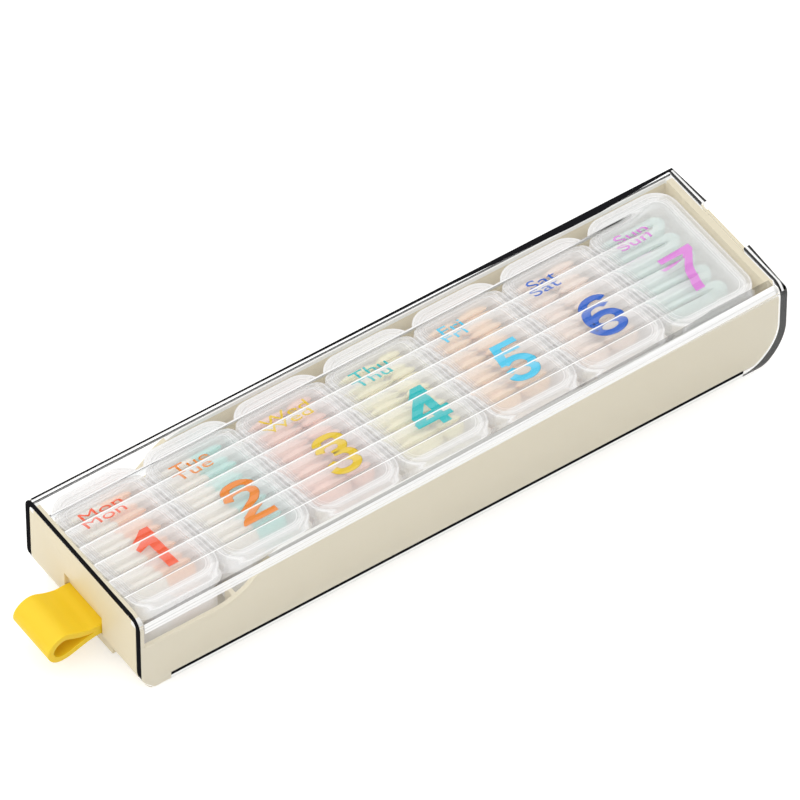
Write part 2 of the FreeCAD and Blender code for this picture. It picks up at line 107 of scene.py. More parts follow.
# What each cup holds: a kind of pill and the colours of its front and rear.
FILLINGS = {
    "mon": ("capsule", (0.88, 0.82, 0.70), (0.95, 0.50, 0.28)),
    "tue": ("capsule", (0.88, 0.82, 0.70), (0.34, 0.74, 0.66)),
    "wed": ("oval", (0.92, 0.53, 0.41), (0.92, 0.53, 0.41)),
    "thu": ("long", (0.88, 0.81, 0.46), (0.88, 0.81, 0.46)),
    "fri": ("round", (0.93, 0.61, 0.36), (0.93, 0.61, 0.36)),
    "sat": ("round", (0.90, 0.70, 0.57), (0.90, 0.70, 0.57)),
    "sun": ("softgel", (0.58, 0.74, 0.68), (0.58, 0.74, 0.68)),
}
# Tablets of a place in a row: middle and length as shares of the row's length, and how far they
# lie aside as a share of the row pitch.
TABLETS = {
    "oval": ((-0.187, 0.640, 0.0), (0.340, 0.390, 0.18)),
    "long": ((-0.170, 0.670, 0.0), (0.346, 0.380, 0.18)),
    "round": ((-0.255, 0.490, 0.0), (0.262, 0.505, 0.18)),
}
TABLET_LEAN = math.radians(29.0)
ROWS = 5
LAYERS = 3
FIRST_ROW = -14.5 * MM
TOP_LAYER = 25.4 * MM

# Numerals on a field 17.5 high: filled outlines, and round strokes as a width and a centre line.
NUMERAL_FIELD = 17.5
NUMERAL_OUTLINES = {
    "1": (((3.75, 0.0), (3.75, 17.5), (0.8, 17.5), (-4.15, 12.3), (-3.75, 10.0), (0.25, 11.6),
           (0.25, 0.0)),),
    "2": (((-6.15, 0.0), (6.1, 0.0), (6.1, 3.05), (-1.7, 3.05), (-2.9, 4.9), (-5.3, 2.5),
           (-6.15, 0.9)),),
    "4": (((0.2, 17.5), (4.1, 17.5), (4.1, 5.8), (6.4, 5.8), (6.4, 3.05), (4.1, 3.05), (4.1, 0.0),
           (1.0, 0.0), (1.0, 3.05), (-6.4, 3.05), (-6.4, 6.0)),
          ((0.9, 5.8), (-2.4, 5.8), (0.9, 11.0))),
    "5": (((-3.9, 17.5), (4.9, 17.5), (4.9, 14.5), (-1.3, 14.5), (-2.0, 10.6), (-2.6, 8.3),
           (-5.3, 8.5)),),
    "7": (((-5.95, 17.5), (5.95, 17.5), (5.95, 15.1), (3.9, 12.5), (2.2, 9.4), (0.9, 5.4), (0.2, 0.0),
           (-3.2, 0.0), (-2.5, 4.8), (-1.1, 9.0), (0.7, 12.4), (2.2, 14.6), (-5.95, 14.6)),),
}
NUMERAL_STROKES = {
    "2": ((3.2, ((-4.5, 11.7), (-3.4, 14.7), (-0.1, 15.9), (3.3, 14.9), (4.4, 12.2), (3.1, 8.9),
                 (-0.4, 5.7), (-3.3, 3.0))),),
    "3": ((3.1, ((-4.1, 12.2), (-3.0, 14.9), (0.1, 15.95), (3.1, 14.9), (3.8, 12.6), (2.7, 10.4),
                 (-0.9, 9.4))),
          (3.1, ((-0.9, 9.4), (2.8, 8.3), (4.1, 5.2), (2.9, 2.6), (0.0, 1.55), (-3.1, 2.6),
                 (-4.3, 5.1)))),
    "5": ((3.2, ((-3.9, 8.7), (-1.4, 10.2), (1.5, 9.9), (3.7, 7.6), (3.9, 4.3), (2.1, 2.0),
                 (-0.8, 1.6), (-3.2, 2.8), (-4.3, 5.2))),),
    "6": ((3.2, ((4.2, 13.5), (2.8, 15.4), (0.6, 15.9), (-2.4, 14.6), (-4.1, 11.4), (-4.6, 7.0),
                 (-3.6, 3.4), (-0.9, 1.7), (2.0, 1.9), (4.2, 3.9), (4.3, 6.9), (2.5, 9.2),
                 (-0.4, 9.7), (-3.2, 8.2), (-4.4, 5.6))),),
}
# How far each numeral stands to the rear of its cup's middle, in mm.
NUMERAL_ASIDE = {"1": 1.8, "2": 2.8, "3": 3.1, "4": 2.6, "5": 3.3, "6": 2.7, "7": 2.7}


NUMERAL_FOOT = -15.4 * MM      # line that the numerals stand on
WORD_FOOT = 11.8 * MM          # line that the words stand on
WORD_START = -9.5 * MM         # left end of a word from the cup's middle
CAPITAL_HEIGHT = 0.70          # height of the built-in lettering's capitals at size one
STROKE_HALF = 0.42             # half thickness of a stroke, a little under a plate's, which it runs into
BEAD_HEIGHT = 0.45 * MM        # how far the bead round a lid stands over its plate
CAPSULE_ROUND = 0.8            # rounding of a capsule's ends as a share of its radius
CAP_STEP = 0.04                # how much narrower a capsule's body is than its cap
TABLET_FULLNESS = 0.6          # one is a plain flattened ball, and less is a fuller rim
EDGE_TURN = 30                 # degrees that an edge turns by before it is rounded or shaded sharp
FLUTE_TURN = 25                # the same along the sleeve's flutes
PILL_TURN = 40                 # the same on the pills

# The sleeve, as its solid has it.
SLEEVE_HEIGHT = 36.0 * MM
SLEEVE_EDGE = 4.6 * MM
FLUTE_PITCH = 8.0 * MM
FLUTES_WIDTH = 44.0 * MM
FLUTES_DEEP = 1.6 * MM         # nothing of a flute lies deeper under the roof's top
FLUTES_FADE = (92.0 * MM, 107.0 * MM)    # along the sleeve, where the flutes run out
FLUTES_STEPS = 12              # cuts that the run-out is made with

# Painted dark reflections, painted shade and painted highlights that stand for what the clear plastic shows
# at its corners, by their place on the sleeve.
END_LINE = 2.3 * MM            # width of the painted dark reflection round the open end
END_REACH = 0.3 * MM           # how far it runs back from the end
FOOT_LINE = (4.65 * MM, 5.95 * MM)       # heights of the painted dark line, a painted refraction of the floor's inner edge
FOOT_REACH = (-109.0 * MM, 104.0 * MM)   # along the sleeve, from where to where it runs
FOOT_DEPTH = 0.7 * MM          # how far in from the side faces it is kept
FAR_LINE_START = 26.05 * MM    # the painted dark far line runs outwards from here where it is widest
FAR_LINE_STEPS = ((1.75 * MM, 34.0 * MM, 78.0 * MM), (0.75 * MM, -92.0 * MM, 34.0 * MM))
FAR_LINE_REAR = (1.95 * MM, 90.0 * MM, 118.0 * MM)
FAR_LINE_FRONT = 1.0 * MM      # how far behind the open end it starts
LINES_FRONT = -118.0 * MM      # the painted highlights start here, behind the open end
RIDGE_LINE = 0.40 * MM         # width of the painted highlight on a ridge between flutes
RIDGE_DEPTH = 0.3 * MM         # how far under the roof's top a ridge may lie
RIDGES_REACH = 2.6 * FLUTE_PITCH         # the outermost painted highlight lies within this of the middle
RIDGES_FADE = (74.0 * MM, 88.0 * MM)     # along the sleeve, where the painted highlights fade out
BAND_FOOT = (31.5 * MM, 0.0155)          # lower edge of the near painted highlight band, and its rise along X
BAND_TOP = (34.45 * MM, 0.0085)          # upper edge of it, and its rise along X
BAND_HAIRS = ((0.9 * MM, 1.2 * MM), (2.2 * MM, 2.5 * MM))    # clearer lines over its lower edge
BAND_HAIR_CLEAR = 0.35         # how much clearer they are
BAND_GAP = 0.75 * MM           # height of the painted shade over the band
BAND_GAP_DARK = 0.36           # how dark that painted shade is
BAND_TO = 116.0 * MM
CREST_LINE = (118.1 * MM, 118.9 * MM)    # the painted highlight along the rear crest
CREST_FROM = 33.3 * MM
BRIGHT_SHARE = 0.9             # how much a painted highlight covers the clear plastic
BRIGHT_GLOW = 0.16             # painted glow that a painted highlight adds to what falls on it
CLEAR_IOR = 1.59
CLEAR_PASSES = 0.97            # share of the light that a face of the sleeve lets straight through

# The milky plastic of cups and lids. A veil is a share of white over what lies behind.
OUT_OF_REACH = 1.0             # a place, in metres, that no piece reaches
CUP_VEILS = (0.45, 0.45, 0.35)           # on top, on the walls, and added where it turns away
LID_VEILS = (0.20, 0.10, 0.42)
LID_TOP_BELOW = 0.1 * MM       # the lid's top starts this far under its plate's upper face
LID_BORDER = 22.4 * MM         # where a lid's thicker end band starts, from the middle
LID_BORDER_EDGE = (0.6 * MM, 0.2 * MM)   # how far before and after that it thickens
LID_BORDER_VEIL = 0.35
LID_CORNER = 8.0 * MM
# Painted highlight lines round a lid's rim, at its steps: where each lies inside the lid's outline, and the
# veil it adds.
LID_LINES = (((-0.7 * MM, -0.2 * MM), 0.25), ((-2.5 * MM, -2.0 * MM), 0.28),
             ((-3.3 * MM, 0.0), 0.12), ((-4.0 * MM, -3.6 * MM), 0.20))
CUP_LIGHT = 0.20               # share of the light that a cup's wall lets straight through
LID_LIGHT = 1.0                # share of the light that a lid lets straight through
MILKY_GLOW = 0.08              # painted glow: light that milky plastic gives off, standing for light scattered inside it
MILKY_SCATTER = 0.2            # share of the skin that passes light on as a soft glow
MILKY_CLOUD = (120.0, 0.04)    # scale and strength of its faint clouds

# Opaque plastic, ink and gelatin.
GRAIN_SCALE = 2500.0
GRAIN_DEPTH = 0.05 * MM
MOTTLE_SCALE = 60.0
MOTTLE_SHARE = 0.012           # how much lighter or darker the mottling gets
SCATTER_DEPTH = 1.0 * MM
SCATTER_REACH = (1.0, 0.8, 0.6)          # how far red, green and blue light travel inside
# Where the tray's painted highlight lies:
RIM_FROM = 26.5 * MM           # the tray's side rims lie further out than this
RIM_DEPTH = 1.5 * MM           # and no further than this under the tray's top


def sizes():
    """The sizes as they are set in this scene."""
    return bpy.context.scene.organizer_sizes


def colours():
    """The colours as they are set in this scene."""
    return bpy.context.scene.organizer_colours


# ---------------------------------------------------------------- mesh helpers
def to_object(name, mesh_builder, materials, body="drawer"):
    """Turn a bmesh into a finished piece that rides on a body."""
    mesh = bpy.data.meshes.new(name)
    mesh_builder.normal_update()
    mesh_builder.to_mesh(mesh)
    mesh_builder.free()
    piece = bpy.data.objects.new(name, mesh)
    bpy.context.scene.collection.objects.link(piece)
    for material in materials:
        mesh.materials.append(material)
    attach(piece, body)
    return piece


def smooth(piece, degrees):
    """Shade smooth, with sharp edges past an angle."""
    for face in piece.data.polygons:
        face.use_smooth = True
    piece.data.set_sharp_from_angle(angle=math.radians(degrees))


def crease(bm, degrees):
    """Shade a mesh builder smooth, with sharp edges past an angle."""
    bm.normal_update()
    for face in bm.faces:
        face.smooth = True
    for edge in bm.edges:
        edge.smooth = edge.calc_face_angle(0.0) < math.radians(degrees)


def merged_mesh(node):
    """A mesh builder that holds a copy of a node's mesh, merged."""
    bm = bmesh.new()
    bm.from_mesh(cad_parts[node].data)
    bmesh.ops.remove_doubles(bm, verts=bm.verts, dist=0.002 * MM)
    bmesh.ops.dissolve_limit(bm, angle_limit=math.radians(0.3), verts=bm.verts, edges=bm.edges)
    return bm


def soften(bm, radius):
    """Round every edge that turns sharply."""
    edges = [edge for edge in bm.edges
             if len(edge.link_faces) == 2 and edge.calc_face_angle() > math.radians(EDGE_TURN)]
    bmesh.ops.bevel(bm, geom=edges, offset=radius, offset_type="OFFSET", segments=3, profile=0.5,
                    affect="EDGES", clamp_overlap=True, material=-1)


def softened_copy(node, name, material, radius):
    """A copy of a node's mesh, merged and with its edges rounded, that stands for the node."""
    bm = merged_mesh(node)
    soften(bm, radius)
    piece = to_object(name, bm, [material])
    smooth(piece, EDGE_TURN)
    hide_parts(node)
    return piece


def row_of_copies(kind, name, material, radius):
    """One softened piece for each day, all copies of the first day's, each at its own node's place."""
    bm = merged_mesh(f"{kind}_{DAYS[0]}")
    soften(bm, radius)
    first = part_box(f"{kind}_{DAYS[0]}")[0]
    for day in DAYS:
        copy = bm.copy()
        bmesh.ops.translate(copy, verts=copy.verts, vec=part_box(f"{kind}_{day}")[0] - first)
        piece = to_object(f"{name}_{day}", copy, [material])
        smooth(piece, EDGE_TURN)
        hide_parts(f"{kind}_{day}")
    bm.free()


# ---------------------------------------------------------------- materials
def new_material(name):
    """An empty node material with its output."""
    material = bpy.data.materials.new(name)
    material.use_nodes = True
    tree = material.node_tree
    tree.nodes.clear()
    output = tree.nodes.new("ShaderNodeOutputMaterial")
    return material, tree, output


def node(tree, kind, **inputs):
    """A node with some of its inputs set, by name or by linked socket."""
    made = tree.nodes.new(kind)
    for name, value in inputs.items():
        socket = made.inputs[name.replace("_", " ")]
        if isinstance(value, bpy.types.NodeSocket):
            tree.links.new(value, socket)
        else:
            socket.default_value = value
    return made


def maths(tree, operation, first, second=0.0):
    """A maths node on two values or sockets."""
    made = tree.nodes.new("ShaderNodeMath")
    made.operation = operation
    for socket, value in zip(made.inputs, (first, second)):
        if isinstance(value, bpy.types.NodeSocket):
            tree.links.new(value, socket)
        else:
            socket.default_value = value
    return made.outputs[0]


def solid(rgb):
    """A colour with full alpha."""
    return (*rgb, 1.0)


def object_place(tree):
    """The place on the piece, in metres."""
    return tree.nodes.new("ShaderNodeTexCoord").outputs["Object"]


def mottled(tree, rgb):
    """A colour that varies very slightly over the surface."""
    cloud = node(tree, "ShaderNodeTexNoise", Vector=object_place(tree), Scale=MOTTLE_SCALE, Detail=3.0)
    mix = tree.nodes.new("ShaderNodeMix")
    mix.data_type = "RGBA"
    tree.links.new(cloud.outputs["Fac"], mix.inputs["Factor"])
    mix.inputs["A"].default_value = solid([value * (1 - MOTTLE_SHARE) for value in rgb])
    mix.inputs["B"].default_value = solid([min(1.0, value * (1 + MOTTLE_SHARE)) for value in rgb])
    return mix.outputs["Result"]


def moulded_plastic(name, rgb, roughness, grain=0.04, subsurface=0.0, shine=0.5):
    """An opaque moulded plastic with a faint grain."""
    material, tree, output = new_material(name)
    noise = node(tree, "ShaderNodeTexNoise", Vector=object_place(tree), Scale=GRAIN_SCALE, Detail=2.0)
    bump = node(tree, "ShaderNodeBump", Height=noise.outputs["Fac"], Strength=grain, Distance=GRAIN_DEPTH)
    shader = node(tree, "ShaderNodeBsdfPrincipled", Base_Color=mottled(tree, rgb), Roughness=roughness,
                  IOR=1.46, Normal=bump.outputs["Normal"], Specular_IOR_Level=shine,
                  Subsurface_Weight=subsurface, Subsurface_Radius=SCATTER_REACH,
                  Subsurface_Scale=SCATTER_DEPTH)
    tree.links.new(shader.outputs[0], output.inputs["Surface"])
    return material


def place_axes(tree):
    """Place on the piece along X, Y and Z, in metres."""
    split = node(tree, "ShaderNodeSeparateXYZ", Vector=object_place(tree))
    return split.outputs["X"], split.outputs["Y"], split.outputs["Z"]


def above(tree, value, level):
    """One where a value is over a level, otherwise nought."""
    return maths(tree, "GREATER_THAN", value, level)


def below(tree, value, level):
    """One where a value is under a level, otherwise nought."""
    return maths(tree, "LESS_THAN", value, level)


def both(tree, *masks):
    """One where all of several masks are one."""
    made = masks[0]
    for mask in masks[1:]:
        made = maths(tree, "MULTIPLY", made, mask)
    return made


def either(tree, *masks):
    """One where any of several masks is one."""
    made = masks[0]
    for mask in masks[1:]:
        made = maths(tree, "MAXIMUM", made, mask)
    return made


def blended(tree, share, first, second):
    """A shader that turns from the first into the second as a share goes from nought to one."""
    mix = node(tree, "ShaderNodeMixShader", Fac=share)
    tree.links.new(first, mix.inputs[1])
    tree.links.new(second, mix.inputs[2])
    return mix.outputs[0]


def lamp_rays(tree):
    """One for the rays that carry light to a dull surface, which thin plastic lets straight through."""
    path = tree.nodes.new("ShaderNodeLightPath")
    return maths(tree, "MAXIMUM", path.outputs["Is Shadow Ray"], path.outputs["Is Diffuse Ray"])


def inset_depth(tree, across, up, half_width, height, radius):
    """How far a place lies inside a section with rounded corners, in metres, as a number below nought."""
    aside = maths(tree, "SUBTRACT", maths(tree, "ABSOLUTE", across), half_width - radius)
    over = maths(tree, "SUBTRACT", up, height - radius)
    out_across = maths(tree, "MAXIMUM", aside, 0.0)
    out_up = maths(tree, "MAXIMUM", over, 0.0)
    corner = maths(tree, "SQRT", maths(tree, "ADD", maths(tree, "MULTIPLY", out_across, out_across),
                                       maths(tree, "MULTIPLY", out_up, out_up)))
    flat = maths(tree, "MINIMUM", maths(tree, "MAXIMUM", aside, over), 0.0)
    return maths(tree, "SUBTRACT", maths(tree, "ADD", corner, flat), radius)


def within(tree, value, low, high):
    """One where a value is between two levels, otherwise nought."""
    return both(tree, above(tree, value, low), below(tree, value, high))


def faded(tree, value, start, end):
    """A share that goes from one at the start to nought at the end."""
    fade = node(tree, "ShaderNodeMapRange", Value=value, From_Min=start, From_Max=end, To_Min=1.0, To_Max=0.0)
    return fade.outputs["Result"]


def sloped(tree, x, z, line):
    """How far a place lies over a line, given by its height at the middle and its rise along X."""
    height, rise = line
    return maths(tree, "SUBTRACT", maths(tree, "SUBTRACT", z, height), maths(tree, "MULTIPLY", x, rise))


def open_end_line(tree, x, y, z, size):
    """The painted dark reflection round the sleeve's open end."""
    depth = inset_depth(tree, y, z, size.y / 2, size.z, SLEEVE_EDGE)
    return both(tree, below(tree, x, END_REACH - size.x / 2), above(tree, depth, -END_LINE))


def far_edge_line(tree, x, y, z, size):
    """The painted dark reflection along the far upper edge, which swells to the rear and narrows again at the
    end.
    """
    start = FAR_LINE_START
    for width, fade_from, fade_to in FAR_LINE_STEPS:
        start = maths(tree, "ADD", maths(tree, "MULTIPLY", faded(tree, x, fade_from, fade_to), width), start)
    width, fade_from, fade_to = FAR_LINE_REAR
    narrow = maths(tree, "SUBTRACT", 1.0, faded(tree, x, fade_from, fade_to))
    start = maths(tree, "ADD", start, maths(tree, "MULTIPLY", narrow, width))
    return both(tree, above(tree, maths(tree, "SUBTRACT", y, start), 0.0),
                above(tree, z, size.z - SLEEVE_EDGE), above(tree, x, FAR_LINE_FRONT - size.x / 2))


def foot_lines(tree, x, y, z, size):
    """The painted dark line along the foot of the side walls, and the painted bright strip under it, which
    stand for what the sleeve's floor refracts.
    """
    side = both(tree, above(tree, maths(tree, "ABSOLUTE", y), size.y / 2 - FOOT_DEPTH),
                within(tree, x, *FOOT_REACH))
    return both(tree, within(tree, z, *FOOT_LINE), side), both(tree, below(tree, z, FOOT_LINE[0]), side)


def ridge_lines(tree, x, y, z, size):
    """The painted highlights on the ridges between flutes."""
    shifted = maths(tree, "SUBTRACT", y, FLUTE_PITCH / 2 - RIDGE_LINE / 4)
    across = maths(tree, "PINGPONG", shifted, FLUTE_PITCH / 2)
    return both(tree, below(tree, across, RIDGE_LINE / 2), above(tree, z, size.z - RIDGE_DEPTH),
                below(tree, maths(tree, "ABSOLUTE", y), RIDGES_REACH), above(tree, x, LINES_FRONT),
                faded(tree, x, *RIDGES_FADE))


def near_edge_band(tree, x, y, z, size):
    """The painted highlight band along the near upper edge, and the painted shade over it."""
    near = both(tree, below(tree, y, SLEEVE_EDGE - size.y / 2), within(tree, x, LINES_FRONT, BAND_TO))
    over_foot = sloped(tree, x, z, BAND_FOOT)
    over_top = sloped(tree, x, z, BAND_TOP)
    hairs = either(tree, *[within(tree, over_foot, *hair) for hair in BAND_HAIRS])
    kept = maths(tree, "SUBTRACT", 1.0, both(tree, hairs, BAND_HAIR_CLEAR))
    band = both(tree, above(tree, over_foot, 0.0), below(tree, over_top, 0.0), near, kept)
    return band, both(tree, within(tree, over_top, 0.0, BAND_GAP), near)


def clear_plastic(name, rgb, dark, size):
    """Clear rigid plastic that bends what is seen through it, with painted dark reflections, painted shade
    and painted highlights at its corners and ridges.
    """
    material, tree, output = new_material(name)
    glass = node(tree, "ShaderNodeBsdfPrincipled", Base_Color=solid(rgb), Roughness=0.0, IOR=CLEAR_IOR,
                 Transmission_Weight=1.0)
    # Painted dark reflection: a dull dark shader for the dark lines at the sleeve's corners and for the
    # painted shade over the near band.
    ink = node(tree, "ShaderNodeBsdfDiffuse", Color=solid(dark))
    # Painted highlight with a painted glow, for the bright lines on the sleeve.
    bright = node(tree, "ShaderNodeBsdfPrincipled", Base_Color=(0.95, 0.95, 0.94, 1.0), Roughness=0.25,
                  IOR=CLEAR_IOR, Emission_Color=(1.0, 1.0, 1.0, 1.0), Emission_Strength=BRIGHT_GLOW)
    through = node(tree, "ShaderNodeBsdfTransparent", Color=solid([CLEAR_PASSES] * 3))
    x, y, z = place_axes(tree)
    behind = tree.nodes.new("ShaderNodeNewGeometry").outputs["Backfacing"]
    outside = maths(tree, "SUBTRACT", 1.0, behind)
    end = open_end_line(tree, x, y, z, size)
    far = both(tree, far_edge_line(tree, x, y, z, size), outside)
    foot, strip = [both(tree, mask, outside) for mask in foot_lines(tree, x, y, z, size)]
    band, gap = [both(tree, mask, outside) for mask in near_edge_band(tree, x, y, z, size)]
    # painted highlight along the rear crest
    crest = both(tree, within(tree, x, *CREST_LINE), above(tree, z, CREST_FROM), outside)
    ridges = ridge_lines(tree, x, y, z, size)
    shown = both(tree, either(tree, ridges, band, strip, crest), BRIGHT_SHARE)
    surface = blended(tree, shown, glass.outputs[0], bright.outputs[0])
    # painted shade over the near band
    surface = blended(tree, both(tree, gap, BAND_GAP_DARK), surface, ink.outputs[0])
    # painted dark reflections round the open end, along the far edge and along the foot
    surface = blended(tree, either(tree, end, far, foot), surface, ink.outputs[0])
    surface = blended(tree, lamp_rays(tree), surface, through.outputs[0])
    tree.links.new(surface, output.inputs["Surface"])
    return material


def lid_line_veil(tree, x, y):
    """The veil that the painted highlight lines round a lid's rim add. The lids stand one pitch apart."""
    low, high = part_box("lid_mon")
    pitch = cup_centre("tue") - cup_centre("mon")
    along = maths(tree, "PINGPONG", maths(tree, "SUBTRACT", x, cup_centre("mon")), pitch / 2)
    inset = inset_depth(tree, along, maths(tree, "ABSOLUTE", y), (high.x - low.x) / 2, high.y, LID_CORNER)
    veil = 0.0
    for (inner, outer), more in LID_LINES:
        veil = maths(tree, "ADD", maths(tree, "MULTIPLY", within(tree, inset, inner, outer), more), veil)
    return veil


def milky_plastic(name, rgb, veils, light, top=OUT_OF_REACH, border=OUT_OF_REACH, lined=False):
    """Thin translucent plastic. It is whiter on top, where it turns away and past a border across the row,
    and, where lined, along painted highlight lines round its rim.
    """
    material, tree, output = new_material(name)
    x, y, z = place_axes(tree)
    top_veil, wall_veil, turned_veil = veils
    cloud_scale, cloud_veil = MILKY_CLOUD
    cloud = node(tree, "ShaderNodeTexNoise", Vector=object_place(tree), Scale=cloud_scale, Detail=2.0)
    turn = node(tree, "ShaderNodeLayerWeight", Blend=0.35)
    veil = maths(tree, "ADD", maths(tree, "MULTIPLY", above(tree, z, top), top_veil - wall_veil), wall_veil)
    veil = maths(tree, "ADD", veil, maths(tree, "MULTIPLY", turn.outputs["Facing"], turned_veil))
    veil = maths(tree, "ADD", veil, maths(tree, "MULTIPLY", cloud.outputs["Fac"], cloud_veil))
    before, after = LID_BORDER_EDGE
    inner = faded(tree, maths(tree, "ABSOLUTE", y), border - before, border + after)
    ends = maths(tree, "MULTIPLY", maths(tree, "SUBTRACT", 1.0, inner), LID_BORDER_VEIL)
    veil = maths(tree, "MINIMUM", maths(tree, "ADD", veil, ends), 1.0)
    # painted highlight lines round the lid's rim
    if lined:
        veil = maths(tree, "MINIMUM", maths(tree, "ADD", veil, lid_line_veil(tree, x, y)), 1.0)
    # The emission is a painted glow that brightens the milky plastic's shaded places.
    plastic = node(tree, "ShaderNodeBsdfPrincipled", Base_Color=solid(rgb), Roughness=0.30, IOR=1.49,
                   Emission_Color=solid(rgb), Emission_Strength=MILKY_GLOW)
    scatter = node(tree, "ShaderNodeBsdfTranslucent", Color=solid(rgb))
    skin = blended(tree, MILKY_SCATTER, plastic.outputs[0], scatter.outputs[0])
    clear = node(tree, "ShaderNodeBsdfTransparent", Color=(1.0, 1.0, 1.0, 1.0))
    surface = blended(tree, veil, clear.outputs[0], skin)
    carried = blended(tree, light, skin, clear.outputs[0])
    surface = blended(tree, lamp_rays(tree), surface, carried)
    tree.links.new(surface, output.inputs["Surface"])
    return material


def tray_plastic(name, rgb, rim, level):
    """Cream moulded plastic, with a painted highlight on top of the wall."""
    material, tree, output = new_material(name)
    x, y, z = place_axes(tree)
    mix = tree.nodes.new("ShaderNodeMix")
    mix.data_type = "RGBA"
    # Painted highlight: the top of the side walls is paler, where light catches it.
    catches = both(tree, above(tree, z, level), above(tree, maths(tree, "ABSOLUTE", y), RIM_FROM))
    tree.links.new(catches, mix.inputs["Factor"])
    mix.inputs["A"].default_value = solid(rgb)
    mix.inputs["B"].default_value = solid(rim)
    shader = node(tree, "ShaderNodeBsdfPrincipled", Base_Color=mix.outputs["Result"], Roughness=0.42,
                  IOR=1.46)
    tree.links.new(shader.outputs[0], output.inputs["Surface"])
    return material


# ---------------------------------------------------------------- pieces
def cup_centre(day):
    """The middle of a cup, along the sleeve."""
    low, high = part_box(f"cup_{day}")
    return (low.x + high.x) / 2


def run_flutes_out(bm):
    """Let the flutes in the roof get shallower little by little before their rear ends."""
    start, end = FLUTES_FADE
    for step in range(-1, FLUTES_STEPS + 1):
        roof = [face for face in bm.faces if face.calc_center_median().z > SLEEVE_HEIGHT - FLUTES_DEEP
                and abs(face.calc_center_median().y) < FLUTES_WIDTH / 2
                and max(vert.co.x for vert in face.verts) > start]
        edges = list({edge for face in roof for edge in face.edges})
        verts = list({vert for face in roof for vert in face.verts})
        bmesh.ops.bisect_plane(bm, geom=roof + edges + verts, dist=0.001 * MM, plane_no=(1.0, 0.0, 0.0),
                               plane_co=(start + (end - start) * step / FLUTES_STEPS, 0.0, 0.0))
    for vert in bm.verts:
        sunk = SLEEVE_HEIGHT - vert.co.z
        if 0 < sunk < FLUTES_DEEP and abs(vert.co.y) < FLUTES_WIDTH / 2 and vert.co.x > start:
            share = min((vert.co.x - start) / (end - start), 1.0)
            vert.co.z = SLEEVE_HEIGHT - sunk * (1.0 - share * share * (3.0 - 2.0 * share))


def make_sleeve():
    """The clear sleeve with smooth shading along its flutes."""
    low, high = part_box("sleeve")
    material = clear_plastic("clear_plastic", colours().clear, colours().dark_line,
                             Vector((high.x - low.x, high.y - low.y, SLEEVE_HEIGHT)))
    bm = merged_mesh("sleeve")
    run_flutes_out(bm)
    crease(bm, FLUTE_TURN)
    piece = to_object("clear_sleeve", bm, [material], "sleeve")
    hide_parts("sleeve")


def make_tray():
    """The cream drawer tray."""
    material = tray_plastic("cream_plastic", colours().cream, colours().cream_rim,
                            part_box("drawer_tray")[1].z - RIM_DEPTH)
    piece = softened_copy("drawer_tray", "cream_tray", material, sizes().tray_round)


def make_strap():
    """The yellow pull strap."""
    material = moulded_plastic("yellow_silicone", colours().yellow, 0.48, grain=0.02, subsurface=0.4)
    piece = softened_copy("pull_strap", "silicone_strap", material, sizes().strap_round)


def make_cups():
    """The seven cups."""
    material = milky_plastic("milky_cup_plastic", colours().milky, CUP_VEILS, CUP_LIGHT)
    row_of_copies("cup", "milky_cup", material, sizes().cup_round)


def make_lids():
    """The seven lids."""
    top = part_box("lid_mon")[1].z - BEAD_HEIGHT - LID_TOP_BELOW
    material = milky_plastic("milky_lid_plastic", colours().milky, LID_VEILS, LID_LIGHT, top, LID_BORDER,
                             lined=True)
    row_of_copies("lid", "milky_lid", material, sizes().cup_round)


def mesh_of_curve(curve):
    """The mesh of a text or a curve, which is deleted."""
    shape = bpy.data.objects.new(curve.name, curve)
    bpy.context.scene.collection.objects.link(shape)
    bpy.context.view_layer.update()
    mesh = bpy.data.meshes.new_from_object(shape.evaluated_get(bpy.context.evaluated_depsgraph_get()))
    bpy.data.objects.remove(shape)
    bpy.data.curves.remove(curve)
    return mesh


def word_mesh(text):
    """A word in the plain built-in lettering, one unit thick, with capitals one unit high."""
    curve = bpy.data.curves.new("word", "FONT")
    curve.body = text
    curve.fill_mode = "BOTH"
    curve.extrude = 0.5
    mesh = mesh_of_curve(curve)
    low = min(vert.co.x for vert in mesh.vertices)
    mesh.transform(Matrix.Diagonal((1 / CAPITAL_HEIGHT, 1 / CAPITAL_HEIGHT, 1.0, 1.0))
                   @ Matrix.Translation((-low, 0.0, 0.0)))
    return mesh


def outlines_mesh(outlines):
    """A plate one unit thick inside closed outlines; an outline inside another is a hole."""
    curve = bpy.data.curves.new("outlines", "CURVE")
    curve.dimensions = "2D"
    curve.fill_mode = "BOTH"
    curve.extrude = 0.5
    for outline in outlines:
        spline = curve.splines.new("POLY")
        spline.points.add(len(outline) - 1)
        for point, (x, y) in zip(spline.points, outline):
            point.co = (x, y, 0.0, 1.0)
        spline.use_cyclic_u = True
    return mesh_of_curve(curve)


def strokes_mesh(strokes):
    """Round pen strokes, a little under one unit thick, along smooth centre lines."""
    curve = bpy.data.curves.new("strokes", "CURVE")
    curve.dimensions = "3D"
    curve.bevel_depth = 1.0
    curve.bevel_resolution = 3
    curve.use_fill_caps = True
    for width, line in strokes:
        spline = curve.splines.new("BEZIER")
        spline.bezier_points.add(len(line) - 1)
        for point, (x, y) in zip(spline.bezier_points, line):
            point.co = (x, y, 0.0)
            point.radius = width / 2
            point.handle_left_type = point.handle_right_type = "AUTO"
    mesh = mesh_of_curve(curve)
    highest = max(vert.co.z for vert in mesh.vertices)
    mesh.transform(Matrix.Diagonal((1.0, 1.0, STROKE_HALF / highest, 1.0)))
    return mesh


